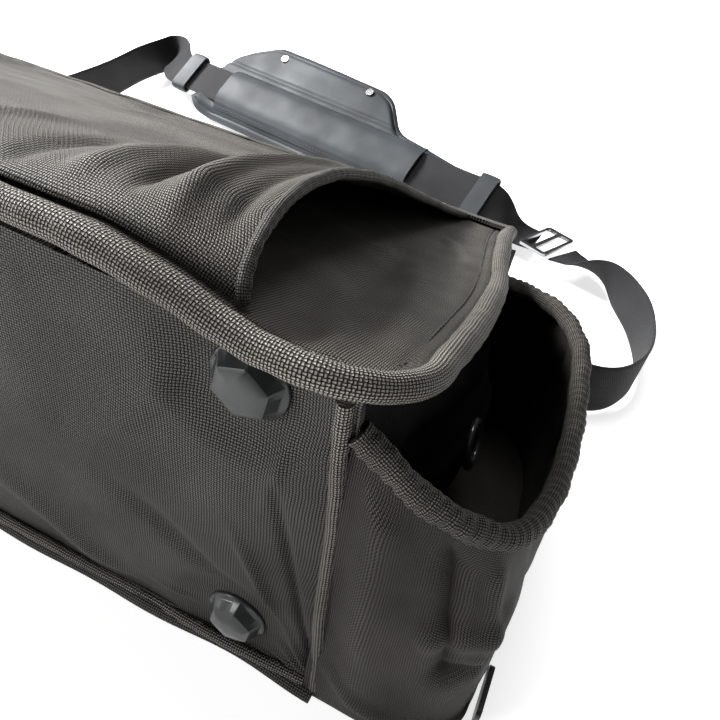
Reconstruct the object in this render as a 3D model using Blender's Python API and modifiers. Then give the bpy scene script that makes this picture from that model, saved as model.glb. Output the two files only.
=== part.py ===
"""Messenger bag lying on its back, as an assembly of separate pieces.

Frame: metres, +Z up. The bag rests on its back face, so its front flap faces +Z.
X runs along the bag's length, +Y points from its base to its top edge, and the feet face -Y.
"""
import math

import bmesh
import bpy
from mathutils import Matrix, Vector

# Driving dimensions of the bag's body
LENGTH = 0.440
HEIGHT = 0.280
DEPTH_AT_BASE = 0.172
DEPTH_AT_TOP = 0.075
WALL = 0.0030
GAP = 0.0004
HALF_LENGTH = LENGTH / 2
HALF_HEIGHT = HEIGHT / 2
FRONT_SLOPE = math.atan2(DEPTH_AT_BASE - DEPTH_AT_TOP, HEIGHT)

# Back face
SLEEVE_THICKNESS = 0.0020
BACK_TOP = SLEEVE_THICKNESS + GAP + WALL
SHELL_FLOOR = BACK_TOP + GAP

# Base feet
FOOT_RADIUS = 0.0130
FOOT_HEIGHT = 0.0080
FOOT_INSET_X = 0.031
FOOT_BACK_Z = 0.028
FOOT_FRONT_Z = 0.157

# Layers above the front panel, each given by its lower and upper offset along the slope's normal
ORGANIZER_LAYER = (0.0004, 0.0024)
STUD_LAYER = (0.0028, 0.0048)
SOCKET_LAYER = (0.0052, 0.0072)
LINING_LAYER = (0.0076, 0.0086)
FLAP_LAYER = (0.0090, 0.0115)
SNAP_RADIUS = 0.0090
SNAP_X = 0.110

# Flap
FLAP_OVERHANG = 0.0040
ROLL_RADIUS = 0.0055
ROLL_OFFSET = 0.0105
FLAP_HALF_AT_BASE = 0.2365
FLAP_TAPER = 0.0205
FLAP_TAPER_FROM = -0.060
FLAP_CORNER = 0.030
FLAP_HINGE_Y = HALF_HEIGHT + 0.0050
FLAP_HINGE_Z = DEPTH_AT_TOP + 0.0080
OVERLAY_HALF_LENGTH = 0.182
OVERLAY_THICKNESS = 0.0022
OVERLAY_ARCH_MIDDLE = 0.012
OVERLAY_ARCH_END = 0.028
BINDING_RADIUS = 0.0026

# Side pockets: the rim from the base seam round to the top, as distance off the bag's end, y and z
POCKET_RIM = [
    (0.0035, -0.1410, 0.154), (0.0290, -0.1400, 0.136), (0.0520, -0.1240, 0.120),
    (0.0610, -0.0950, 0.113), (0.0620, -0.0600, 0.110), (0.0600, -0.0250, 0.109),
    (0.0550, 0.0100, 0.106), (0.0380, 0.0420, 0.102), (0.0060, 0.0600, 0.095),
]
POCKET_WALL = 0.0024
POCKET_RIM_RADIUS = 0.0045
POCKET_BASE_PULL = 0.03

# Zip low on each side pocket's outer wall
ZIP_FACE = HALF_LENGTH + 0.0648
ZIP_TAPE = 0.0014
ZIP_WIDTH = 0.011
ZIP_Z = 0.0100
ZIP_START = -0.108
ZIP_END = -0.012
ZIP_SLIDER = (0.0040, 0.0100, 0.0080)
ZIP_SLIDER_Y = -0.0990
ZIP_PULL = 0.0022

# Strap
WEBBING_WIDTH = 0.038
WEBBING_THICKNESS = 0.0020
ANCHOR_Y = 0.088
ANCHOR_Z = 0.030
RING_WIRE = 0.0020
RING_BAR = 0.042
RING_REACH = 0.024

# Each strap point is (x, y, z) of the webbing's middle and its lean: 90 or -90 on edge, 0 flat
LONG_WEBBING = [
    (-0.2300, 0.1360, 0.0305, -90), (-0.2330, 0.1700, 0.0290, -90), (-0.2400, 0.2350, 0.0250, -90),
    (-0.2500, 0.3000, 0.0220, -90), (-0.2620, 0.3650, 0.0215, -90), (-0.2640, 0.4120, 0.0215, -88),
    (-0.2550, 0.4260, 0.0240, -72), (-0.2390, 0.4060, 0.0290, -48), (-0.2220, 0.3800, 0.0320, -37),
    (-0.2050, 0.3638, 0.0324, -35), (-0.1893, 0.3608, 0.0324, -35), (-0.1413, 0.3515, 0.0324, -35),
    (-0.0413, 0.3323, 0.0324, -35), (0.0587, 0.3131, 0.0324, -35), (0.1387, 0.2978, 0.0324, -35),
    (0.1700, 0.2918, 0.0324, -35), (0.1880, 0.2890, 0.0255, -22), (0.2060, 0.2892, 0.0145, -6),
    (0.2250, 0.2875, 0.0130, 0),
]
SHORT_WEBBING = [
    (0.2500, 0.2780, 0.0130, 0), (0.2720, 0.2650, 0.0160, 20), (0.2960, 0.2430, 0.0215, 75),
    (0.3180, 0.2100, 0.0210, 90), (0.3280, 0.1700, 0.0210, 90), (0.3260, 0.1350, 0.0215, 90),
    (0.3130, 0.1080, 0.0220, 90), (0.2930, 0.0960, 0.0230, 90), (0.2720, 0.1020, 0.0250, 90),
    (0.2520, 0.1230, 0.0280, 90), (0.2340, 0.1350, 0.0300, 90),
]
PAD_START = Vector((-0.170, 0.3640, 0.0))
PAD_END = Vector((0.130, 0.3065, 0.0))
PAD_WIDTH = 0.070
PAD_LINE_Z = 0.0225
PAD_TILT = math.radians(35)
PAD_THICKNESS = 0.0090
TUNNEL_WIDTH = 0.052
TUNNEL_RISE = 0.0070
TUNNEL_SKIN = 0.0022

parts = None


def material(name, colour, roughness, metallic=0.0):
    """A Principled material in the piece's own colour."""
    mat = bpy.data.materials.new(name)
    mat.use_nodes = True
    shader = mat.node_tree.nodes["Principled BSDF"]
    shader.inputs["Base Color"].default_value = (*colour, 1.0)
    shader.inputs["Roughness"].default_value = roughness
    shader.inputs["Metallic"].default_value = metallic
    mat.diffuse_color = (*colour, 1.0)
    return mat


LOOKS = {
    "nylon": ((0.045, 0.043, 0.040), 0.62, 0.0),
    "lining": ((0.012, 0.013, 0.016), 0.80, 0.0),
    "webbing": ((0.022, 0.022, 0.023), 0.55, 0.0),
    "leather": ((0.060, 0.066, 0.072), 0.45, 0.0),
    "board": ((0.030, 0.030, 0.030), 0.70, 0.0),
    "plastic": ((0.030, 0.030, 0.032), 0.30, 0.0),
    "metal": ((0.300, 0.300, 0.310), 0.28, 1.0),
}


def finish(obj, look):
    """Give the piece its own material and put it in the bag's collection."""
    colour, roughness, metallic = LOOKS[look]
    obj.data.materials.clear()
    obj.data.materials.append(material(obj.name + "_" + look, colour, roughness, metallic))
    for owner in list(obj.users_collection):
        owner.objects.unlink(obj)
    parts.objects.link(obj)
    return obj


def mesh_object(name, bm, look, smooth=False):
    bmesh.ops.recalc_face_normals(bm, faces=bm.faces)
    mesh = bpy.data.meshes.new(name)
    bm.to_mesh(mesh)
    bm.free()
    if smooth:
        mesh.shade_smooth()
        mesh.set_sharp_from_angle(angle=math.radians(40))
    return finish(bpy.data.objects.new(name, mesh), look)


def disc(name, radius, depth, place, look, segments=16):
    """A flat round piece, its axis along the placement's Z."""
    bm = bmesh.new()
    bmesh.ops.create_cone(bm, cap_ends=True, segments=segments, radius1=radius, radius2=radius,
                          depth=depth, matrix=place)
    return mesh_object(name, bm, look)


def rounded_outline(low, high, radius, steps=5):
    """Corner points of a rounded rectangle, anticlockwise from its lower right corner."""
    centres = [
        (high[0] - radius, low[1] + radius, -90), (high[0] - radius, high[1] - radius, 0),
        (low[0] + radius, high[1] - radius, 90), (low[0] + radius, low[1] + radius, 180),
    ]
    points = []
    for x, y, start in centres:
        for i in range(steps + 1):
            angle = math.radians(start + 90 * i / steps)
            points.append((x + radius * math.cos(angle), y + radius * math.sin(angle)))
    return points


def plate(name, outlines, thickness, place, look):
    """A flat piece: filled 2D outlines, extruded to its thickness about its own middle plane."""
    curve = bpy.data.curves.new(name, "CURVE")
    curve.dimensions = "2D"
    curve.fill_mode = "BOTH"
    curve.extrude = thickness / 2
    for outline in outlines:
        spline = curve.splines.new("POLY")
        spline.points.add(len(outline) - 1)
        for point, (x, y) in zip(spline.points, outline):
            point.co = (x, y, 0, 1)
        spline.use_cyclic_u = True
    obj = bpy.data.objects.new(name, curve)
    obj.matrix_world = place
    return finish(obj, look)


def frame_at(origin, x_axis, y_axis):
    """World matrix whose local X and Y are the two given unit directions."""
    x_axis = Vector(x_axis).normalized()
    y_axis = Vector(y_axis).normalized()
    z_axis = x_axis.cross(y_axis)
    rows = Matrix((x_axis, y_axis, z_axis)).transposed().to_4x4()
    return Matrix.Translation(Vector(origin)) @ rows


def tube(name, points, radius, look, cyclic=False, resolution=2):
    curve = bpy.data.curves.new(name, "CURVE")
    curve.dimensions = "3D"
    curve.bevel_depth = radius
    curve.bevel_resolution = resolution
    curve.use_fill_caps = not cyclic
    spline = curve.splines.new("POLY")
    spline.points.add(len(points) - 1)
    for point, co in zip(spline.points, points):
        point.co = (*co, 1)
    spline.use_cyclic_u = cyclic
    return finish(bpy.data.objects.new(name, curve), look)


def smooth_path(points, steps):
    """Catmull-Rom samples through the points, which may have any number of coordinates."""
    rows = [Vector(p) for p in points]
    rows = [2 * rows[0] - rows[1]] + rows + [2 * rows[-1] - rows[-2]]
    result = []
    for i in range(1, len(rows) - 2):
        a, b, c, d = rows[i - 1:i + 3]
        for k in range(steps):
            t = k / steps
            result.append(0.5 * (2 * b + (c - a) * t + (2 * a - 5 * b + 4 * c - d) * t ** 2
                                 + (3 * b - a - 3 * c + d) * t ** 3))
    result.append(rows[-2])
    return result


def loft(name, rings, look, smooth=False):
    """A closed solid through a row of like sections, capped at both ends."""
    bm = bmesh.new()
    rows = [[bm.verts.new(p) for p in ring] for ring in rings]
    count = len(rows[0])
    for lower, upper in zip(rows, rows[1:]):
        for i in range(count):
            j = (i + 1) % count
            bm.faces.new((lower[i], lower[j], upper[j], upper[i]))
    bm.faces.new(rows[0][::-1])
    bm.faces.new(rows[-1])
    return mesh_object(name, bm, look, smooth)


def sheet(name, surface, thickness, offset, look):
    """A soft panel: a grid of points given as rows, thickened with Solidify."""
    bm = bmesh.new()
    rows = [[bm.verts.new(p) for p in row] for row in surface]
    for lower, upper in zip(rows, rows[1:]):
        for i in range(len(lower) - 1):
            bm.faces.new((lower[i], lower[i + 1], upper[i + 1], upper[i]))
    mesh = bpy.data.meshes.new(name)
    bm.to_mesh(mesh)
    bm.free()
    mesh.shade_smooth()
    obj = finish(bpy.data.objects.new(name, mesh), look)
    solid = obj.modifiers.new("Thickness", "SOLIDIFY")
    solid.thickness = thickness
    solid.offset = offset
    return obj


def on_front(x, y, offset):
    """A point at (x, y) measured on the sloping front, raised along its normal."""
    rise = offset / math.cos(FRONT_SLOPE)
    z = DEPTH_AT_TOP + (HALF_HEIGHT - y) * math.tan(FRONT_SLOPE) + rise
    return Vector((x, y, z))


def front_plate(name, low, high, radius, layer, look):
    """A plate lying on the sloping front between two offsets; low and high are (x, y)."""
    middle = (layer[0] + layer[1]) / 2
    scale = 1 / math.cos(FRONT_SLOPE)
    up_slope = (0, math.cos(FRONT_SLOPE), -math.sin(FRONT_SLOPE))
    outline = rounded_outline((low[0], low[1] * scale), (high[0], high[1] * scale), radius)
    place = frame_at(on_front(0, 0, middle), (1, 0, 0), up_slope)
    return plate(name, [outline], layer[1] - layer[0], place, look)


def flap_half_width(y):
    """Half the flap's width to the middle of its rolled edge; it narrows towards the top."""
    t = min(max((y - FLAP_TAPER_FROM) / (HALF_HEIGHT - FLAP_TAPER_FROM), 0.0), 1.0)
    return FLAP_HALF_AT_BASE - FLAP_TAPER * t * t * (3 - 2 * t)


def flap_edge(inset, top_y, radius):
    """The flap's outline from its top right round its base to its top left, moved inwards."""
    low_y = -HALF_HEIGHT - FLAP_OVERHANG - ROLL_RADIUS - GAP + inset
    centre_y = low_y + radius
    right = []
    for i in range(9):
        y = top_y - i * (top_y - centre_y) / 9
        right.append((flap_half_width(y) - inset, y))
    centre_x = flap_half_width(centre_y) - inset - radius
    for i in range(9):
        angle = math.radians(-90 * i / 8)
        right.append((centre_x + radius * math.cos(angle), centre_y + radius * math.sin(angle)))
    right += [(centre_x * (1 - i / 4), low_y) for i in range(1, 4)]
    return right + [(0, low_y)] + [(-x, y) for x, y in reversed(right)]


def flap_plate(name, inset, top_y, layer, look):
    """A plate of the flap's own outline, between two offsets above the sloping front."""
    radius = FLAP_CORNER - inset + 0.002
    scale = 1 / math.cos(FRONT_SLOPE)
    outline = [(x, y * scale) for x, y in flap_edge(inset, top_y, radius)]
    up_slope = (0, math.cos(FRONT_SLOPE), -math.sin(FRONT_SLOPE))
    place = frame_at(on_front(0, 0, (layer[0] + layer[1]) / 2), (1, 0, 0), up_slope)
    return plate(name, [outline], layer[1] - layer[0], place, look)


def build_shell():
    """The bag's own walls, stiffeners and seams."""
    flat = Matrix.Translation((0, 0, SLEEVE_THICKNESS / 2))
    sleeve = rounded_outline((-HALF_LENGTH, -HALF_HEIGHT), (HALF_LENGTH, HALF_HEIGHT - 0.03), 0.02)
    plate("back_sleeve_panel", [sleeve], SLEEVE_THICKNESS, flat, "nylon")
    back = rounded_outline((-HALF_LENGTH, -HALF_HEIGHT), (HALF_LENGTH, HALF_HEIGHT), 0.012)
    flat = Matrix.Translation((0, 0, BACK_TOP - WALL / 2))
    plate("back_panel", [back], WALL, flat, "nylon")

    base = rounded_outline((-HALF_LENGTH, SHELL_FLOOR), (HALF_LENGTH, DEPTH_AT_BASE), 0.012)
    place = frame_at((0, -HALF_HEIGHT + WALL / 2, 0), (1, 0, 0), (0, 0, 1))
    plate("bottom_panel", [base], WALL, place, "nylon")

    inner_y = -HALF_HEIGHT + WALL + GAP
    inner_depth = on_front(0, inner_y, 0).z
    end = [(inner_y, SHELL_FLOOR), (HALF_HEIGHT, SHELL_FLOOR), (HALF_HEIGHT, DEPTH_AT_TOP),
           (inner_y, inner_depth)]
    for side, name in ((1, "right"), (-1, "left")):
        place = frame_at((side * (HALF_LENGTH - WALL / 2), 0, 0), (0, 1, 0), (0, 0, 1))
        plate("end_panel_" + name, [end], WALL, place, "nylon")
    half = HALF_LENGTH - WALL - GAP
    front_plate("front_panel", (-half, inner_y + 0.002), (half, HALF_HEIGHT), 0.001, (-WALL, 0.0), "nylon")
    front_plate("organizer_pocket_panel", (-0.180, -0.120), (0.180, 0.085), 0.012,
                ORGANIZER_LAYER, "nylon")

    board_y = inner_y + GAP + WALL / 2
    board = rounded_outline((-half + 0.004, SHELL_FLOOR + 0.004), (half - 0.004, DEPTH_AT_BASE - 0.012), 0.01)
    plate("base_board", [board], WALL, frame_at((0, board_y, 0), (1, 0, 0), (0, 0, 1)), "board")
    divider = rounded_outline((-half + 0.002, -HALF_HEIGHT + 0.014), (half - 0.002, HALF_HEIGHT - 0.035), 0.015)
    plate("padded_divider", [divider], 0.008, Matrix.Translation((0, 0, 0.040)), "lining")
    build_seams()


def build_seams():
    """Bound seams along the base's ends and its back edge."""
    seam_y = -HALF_HEIGHT - GAP - BINDING_RADIUS
    for side, name in ((1, "right"), (-1, "left")):
        x = side * (HALF_LENGTH - 0.001)
        line = [(x, seam_y, 0.010 + i * 0.0245) for i in range(7)]
        tube("end_seam_binding_" + name, line, BINDING_RADIUS, "nylon")
    z = BINDING_RADIUS + 0.0003
    reach = HALF_LENGTH - 0.012
    line = [(-reach + 2 * reach * i / 8, seam_y, z) for i in range(9)]
    tube("back_seam_binding", line, BINDING_RADIUS, "nylon")


def build_feet():
    """Four moulded feet on the base, each held by a rivet through the base board."""
    heights = (FOOT_BACK_Z, FOOT_FRONT_Z)
    places = [(side * (HALF_LENGTH - FOOT_INSET_X), z) for side in (1, -1) for z in heights]
    rivet_y = -HALF_HEIGHT + 2 * WALL + 3 * GAP
    for number, (x, z) in enumerate(places, 1):
        bm = bmesh.new()
        bmesh.ops.create_cone(bm, cap_ends=True, segments=6, radius1=FOOT_RADIUS,
                              radius2=FOOT_RADIUS * 0.52, depth=FOOT_HEIGHT)
        obj = mesh_object("foot_%d" % number, bm, "plastic")
        obj.location = (x, -HALF_HEIGHT - GAP - FOOT_HEIGHT / 2, z)
        obj.rotation_euler = (math.radians(90), 0, 0)
        bevel = obj.modifiers.new("Edges", "BEVEL")
        bevel.width = 0.0012
        bevel.segments = 2
        turn = Matrix.Translation((x, rivet_y + 0.001, z)) @ Matrix.Rotation(math.radians(90), 4, "X")
        disc("foot_rivet_%d" % number, 0.005, 0.0016, turn, "metal")


def build_side_pocket(side, name):
    """An open half-moon pocket standing off the bag's end, with a bound rim and an eyelet behind it."""
    rim = smooth_path([(side * (HALF_LENGTH + out), y, z) for out, y, z in POCKET_RIM], 3)
    wall_x = side * (HALF_LENGTH + GAP)
    floor_z = 0.0035
    rows = [[Vector((wall_x + side * 0.0002, p.y * 0.985, floor_z)) for p in rim]]
    for level in (0.0, 0.12, 0.4, 0.7, 1.0):
        pull = POCKET_BASE_PULL * (1 - level) ** 2
        row = []
        for p in rim:
            x = p.x + (wall_x - p.x) * pull
            row.append(Vector((x, p.y * (1 - 0.015 * (1 - level)), floor_z + (p.z - floor_z) * level)))
        rows.append(row)
    sheet("side_pocket_" + name, rows, POCKET_WALL, 1.0 if side > 0 else -1.0, "nylon")
    lift = POCKET_RIM_RADIUS + 2 * GAP
    line = [p + Vector((side * POCKET_WALL / 2, 0, lift)) for p in rim[1:-1]]
    tube("pocket_rim_" + name, line, POCKET_RIM_RADIUS, "nylon")

    bpy.ops.mesh.primitive_torus_add(major_segments=28, minor_segments=8, major_radius=0.0085,
                                     minor_radius=0.0022)
    eyelet = bpy.context.object
    eyelet.name = "eyelet_" + name
    eyelet.rotation_euler = (0, math.radians(90), 0)
    eyelet.location = (side * (HALF_LENGTH + GAP + 0.0022), -0.055, 0.085)
    finish(eyelet, "plastic")


def build_flap():
    """The flap: a hinge strip over the top, the main panel, its lining, rolled edge and overlay."""
    strip_half = HALF_LENGTH - 0.004
    strip = rounded_outline((-strip_half, SHELL_FLOOR + 0.003), (strip_half, DEPTH_AT_TOP + 0.001), 0.004)
    place = frame_at((0, FLAP_HINGE_Y, 0), (1, 0, 0), (0, 0, 1))
    plate("flap_hinge_panel", [strip], WALL, place, "nylon")

    top_y = HALF_HEIGHT - 0.001
    edge = ROLL_RADIUS + GAP
    flap_plate("flap_lining", edge + 0.004, top_y - 0.002, LINING_LAYER, "lining")
    flap_plate("flap_panel", edge, top_y, FLAP_LAYER, "nylon")
    path = flap_edge(0.0, top_y - 0.004, FLAP_CORNER)
    tube("flap_rolled_edge", [on_front(x, y, ROLL_OFFSET) for x, y in path], ROLL_RADIUS, "nylon",
         resolution=3)
    build_overlay(-HALF_HEIGHT - FLAP_OVERHANG)
    build_snaps()


def overlay_height(across, along):
    """Rise of the flap's overlay above the flap; its open ends gape more than its middle."""
    arch = OVERLAY_ARCH_MIDDLE + (OVERLAY_ARCH_END - OVERLAY_ARCH_MIDDLE) * abs(across) ** 4
    swell = math.sin(math.pi * along ** 0.55) ** 1.1 if 0 < along < 1 else 0.0
    return FLAP_LAYER[1] + GAP + OVERLAY_THICKNESS / 2 + arch * swell


def build_overlay(low_y):
    """A full-size pocket sheet on the flap, sewn at its top and bottom and open at both ends."""
    start = low_y + 0.010
    finish_y = HALF_HEIGHT - 0.012
    columns = [-1 + i / 8 for i in range(17)]
    rows = [(i / 14) ** 1.4 for i in range(15)]
    surface = []
    for along in rows:
        y = start + (finish_y - start) * along
        surface.append([on_front(a * OVERLAY_HALF_LENGTH, y, overlay_height(a, along)) for a in columns])
    sheet("flap_overlay_panel", surface, OVERLAY_THICKNESS, 0.0, "nylon")
    for side, name in ((1, "right"), (-1, "left")):
        x = side * (OVERLAY_HALF_LENGTH + BINDING_RADIUS + GAP)
        line = []
        for along in rows:
            y = start + (finish_y - start) * along
            rise = max(overlay_height(side, along), FLAP_LAYER[1] + GAP + BINDING_RADIUS)
            line.append(on_front(x, y, rise))
        tube("overlay_binding_" + name, line, BINDING_RADIUS, "nylon")


def build_snaps():
    """Two magnetic snaps: studs on the organiser pocket and sockets on the flap."""
    turn = Matrix.Rotation(-FRONT_SLOPE, 4, "X")
    snap_y = -0.095
    for side, name in ((1, "right"), (-1, "left")):
        for label, layer in (("snap_stud_", STUD_LAYER), ("snap_socket_", SOCKET_LAYER)):
            middle = on_front(side * SNAP_X, snap_y, (layer[0] + layer[1]) / 2)
            place = Matrix.Translation(middle) @ turn
            disc(label + name, SNAP_RADIUS, layer[1] - layer[0], place, "metal", segments=24)


def build_zip(side, name):
    """The end pocket's low zip: tape along the outer wall, a slider at its base end and a pull."""
    tape_x = side * (ZIP_FACE + ZIP_TAPE / 2)
    middle = (ZIP_START + ZIP_END) / 2
    half = (ZIP_END - ZIP_START) / 2
    tape = rounded_outline((-half, -ZIP_WIDTH / 2), (half, ZIP_WIDTH / 2), 0.002)
    place = frame_at((tape_x, middle, ZIP_Z), (0, 1, 0), (0, 0, 1))
    plate("zip_tape_" + name, [tape], ZIP_TAPE, place, "webbing")

    slider_x = side * (ZIP_FACE + ZIP_TAPE + GAP + ZIP_SLIDER[0] / 2)
    bm = bmesh.new()
    bmesh.ops.create_cube(bm, size=1.0)
    bmesh.ops.scale(bm, vec=ZIP_SLIDER, verts=bm.verts)
    slider = mesh_object("zip_slider_" + name, bm, "metal")
    slider.location = (slider_x, ZIP_SLIDER_Y, ZIP_Z)
    bevel = slider.modifiers.new("Edges", "BEVEL")
    bevel.width = 0.0008
    bevel.segments = 2

    pull_x = slider_x + side * (ZIP_SLIDER[0] / 2 + GAP + ZIP_PULL / 2)
    tab = rounded_outline((-0.024, -0.0045), (0.0, 0.0045), 0.003)
    place = frame_at((pull_x, ZIP_SLIDER_Y - 0.002, ZIP_Z), (0, 1, 0), (0, 0, 1))
    plate("zip_pull_" + name, [tab], ZIP_PULL, place, "plastic")


def build_anchor(side, name):
    """A riveted leather tab on the bag's end that carries a D-ring."""
    face = side * (HALF_LENGTH + GAP)
    rivet_x = face + side * 0.0042
    turn = Matrix.Translation((rivet_x, ANCHOR_Y, ANCHOR_Z)) @ Matrix.Rotation(math.radians(90), 4, "Y")
    disc("anchor_rivet_" + name, 0.006, 0.0020, turn, "metal")
    tab = rounded_outline((ANCHOR_Y - 0.012, ANCHOR_Z - 0.014), (ANCHOR_Y + 0.020, ANCHOR_Z + 0.014), 0.006)
    place = frame_at((face + side * 0.0014, 0, 0), (0, 1, 0), (0, 0, 1))
    plate("anchor_tab_" + name, [tab], 0.0024, place, "leather")

    ring_x = face + side * 0.0070
    bar_y = ANCHOR_Y + 0.020 + RING_WIRE + GAP
    half_bar = RING_BAR / 2
    loop = [(ring_x, bar_y, ANCHOR_Z - half_bar * 0.6), (ring_x, bar_y, ANCHOR_Z),
            (ring_x, bar_y, ANCHOR_Z + half_bar * 0.6)]
    for i in range(9):
        angle = math.radians(90 - 180 * i / 8)
        y = bar_y + 0.003 + RING_REACH * 0.75 * math.cos(angle)
        loop.append((ring_x, y, ANCHOR_Z + half_bar * math.sin(angle)))
    tube("d_ring_" + name, loop, RING_WIRE, "metal", cyclic=True)


def ribbon(name, points, width, thickness, look):
    """Flat webbing along a path; each point carries its lean from flat (0) to on edge (90)."""
    path = smooth_path(points, 4)
    rings = []
    for i, point in enumerate(path):
        before = path[max(i - 1, 0)].to_3d()
        after = path[min(i + 1, len(path) - 1)].to_3d()
        along = (after - before).normalized()
        level = along.cross(Vector((0, 0, 1))).normalized()
        lean = math.radians(point[3])
        across = level * math.cos(lean) + level.cross(along) * math.sin(lean)
        normal = across.cross(along).normalized()
        middle = point.to_3d()
        a = across * width / 2
        n = normal * thickness / 2
        rings.append([middle - a - n, middle + a - n, middle + a + n, middle - a + n])
    return loft(name, rings, look)


def pad_frame(height):
    """The pad's own frame, tilted so that its far wing stands up; height is off its lower face."""
    along = (PAD_END - PAD_START).normalized()
    level = Vector((-along.y, along.x, 0))
    across = level * math.cos(PAD_TILT) + Vector((0, 0, math.sin(PAD_TILT)))
    origin = (PAD_START + PAD_END) / 2 + Vector((0, 0, PAD_LINE_Z))
    return frame_at(origin + along.cross(across) * height, along, across)


def build_pad():
    """The shoulder pad: a shaped base, a raised tunnel for the webbing, keepers and rivets."""
    half = (PAD_END - PAD_START).length / 2
    near = PAD_WIDTH / 2
    outline = [(-half, -0.022), (-half + 0.012, -near), (half - 0.06, -near), (half, -0.024),
               (half, 0.024), (half - 0.075, near), (half - 0.100, near + 0.030),
               (half - 0.115, near + 0.038), (-half + 0.055, near + 0.038), (-half + 0.020, near + 0.020),
               (-half, 0.022)]
    place = pad_frame(PAD_THICKNESS / 2)
    plate("shoulder_pad", [outline], PAD_THICKNESS, place, "leather")

    foot = PAD_THICKNESS + GAP
    rim = TUNNEL_WIDTH / 2
    flat = rim - 0.0045
    profile = [(-rim, 0.0), (-flat, 0.0), (-flat, TUNNEL_RISE - TUNNEL_SKIN), (flat, TUNNEL_RISE - TUNNEL_SKIN),
               (flat, 0.0), (rim, 0.0), (rim - 0.003, TUNNEL_RISE), (-rim + 0.003, TUNNEL_RISE)]
    matrix = pad_frame(foot)
    rings = [[matrix @ Vector((x, y, z)) for y, z in profile] for x in (-half + 0.035, 0.0, half - 0.035)]
    loft("pad_tunnel_strip", rings, "leather")

    for number, x in enumerate((-half + 0.070, half - 0.125), 1):
        spot = matrix @ Matrix.Translation((x, near + 0.024, 0.0008))
        disc("pad_rivet_%d" % number, 0.004, 0.0016, spot, "metal")


def rectangle_ring(name, matrix, inner, wall, length, look):
    """A flat sleeve round the webbing; inner is its clear (width, height)."""
    w, h = inner[0] / 2, inner[1] / 2
    outer = [(-w - wall, -h - wall), (w + wall, -h - wall), (w + wall, h + wall), (-w - wall, h + wall)]
    clear = [(-w, -h), (w, -h), (w, h), (-w, h)]
    return plate(name, [outer, clear], length, matrix, look)


def on_webbing(x):
    """A frame whose Z runs along the straight, tilted stretch of webbing at the given x."""
    start = Vector(LONG_WEBBING[10][:3])
    along = (Vector(LONG_WEBBING[14][:3]) - start).normalized()
    level = Vector((-along.y, along.x, 0))
    across = level * math.cos(PAD_TILT) + Vector((0, 0, math.sin(PAD_TILT)))
    return frame_at(start + along * ((x - start.x) / along.x), across, along.cross(across))


def build_strap():
    """The shoulder strap: two lengths of webbing, an adjuster, keepers and a sliding pad."""
    ribbon("strap_webbing_long", LONG_WEBBING, WEBBING_WIDTH, WEBBING_THICKNESS, "webbing")
    ribbon("strap_webbing_short", SHORT_WEBBING, WEBBING_WIDTH, WEBBING_THICKNESS, "webbing")
    rectangle_ring("strap_keeper_right", on_webbing(0.1640), (0.0410, 0.0050), 0.0024, 0.014, "leather")
    rectangle_ring("strap_keeper_left", on_webbing(-0.1900), (0.0410, 0.0050), 0.0024, 0.014, "leather")

    slider = frame_at((0.2330, 0.2850, 0.0168), (0.40, 0.92, 0), (-0.92, 0.40, 0))
    outer = rounded_outline((-0.0240, -0.0140), (0.0240, 0.0140), 0.004)
    slots = [rounded_outline((-0.0200, low), (0.0200, low + 0.0090), 0.0015) for low in (-0.0110, 0.0020)]
    plate("strap_slider", [outer] + slots, 0.0026, slider, "metal")
    build_pad()


def build():
    global parts
    for obj in list(bpy.data.objects):
        bpy.data.objects.remove(obj, do_unlink=True)
    parts = bpy.data.collections.new("messenger_bag")
    bpy.context.scene.collection.children.link(parts)
    build_shell()
    build_feet()
    for side, name in ((1, "right"), (-1, "left")):
        build_side_pocket(side, name)
        build_zip(side, name)
        build_anchor(side, name)
    build_flap()
    build_strap()


build()
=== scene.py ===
import math

import bpy
import numpy as np
from mathutils import Matrix, Vector


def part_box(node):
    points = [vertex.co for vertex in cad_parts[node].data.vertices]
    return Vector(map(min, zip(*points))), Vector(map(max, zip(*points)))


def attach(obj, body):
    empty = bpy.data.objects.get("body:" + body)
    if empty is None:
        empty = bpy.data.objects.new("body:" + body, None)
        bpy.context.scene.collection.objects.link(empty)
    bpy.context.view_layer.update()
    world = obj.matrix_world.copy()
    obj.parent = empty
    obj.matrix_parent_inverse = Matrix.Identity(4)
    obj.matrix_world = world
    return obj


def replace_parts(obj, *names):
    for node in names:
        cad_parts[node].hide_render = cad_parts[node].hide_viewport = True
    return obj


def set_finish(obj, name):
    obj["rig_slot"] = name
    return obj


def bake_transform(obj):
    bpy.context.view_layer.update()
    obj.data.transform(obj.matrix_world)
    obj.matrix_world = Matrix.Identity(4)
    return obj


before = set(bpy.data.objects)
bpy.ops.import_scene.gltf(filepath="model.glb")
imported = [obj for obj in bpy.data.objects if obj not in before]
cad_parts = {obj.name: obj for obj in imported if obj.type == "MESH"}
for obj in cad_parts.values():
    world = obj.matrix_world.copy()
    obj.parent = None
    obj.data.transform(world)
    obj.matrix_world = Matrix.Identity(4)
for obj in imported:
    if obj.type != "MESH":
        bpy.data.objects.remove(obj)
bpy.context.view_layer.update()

# The bag's own frame: half length, half height, depth at the base and the slope of its front
HALF_X = 0.220
HALF_Y = 0.140
BASE_Z = 0.172
TOP_Z = 0.075
SLOPE = math.atan2(BASE_Z - TOP_Z, 2 * HALF_Y)
FLAP_OFFSET = 0.0115
WEAVE = 0.00095


# ---------------------------------------------------------------- surfaces

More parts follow.
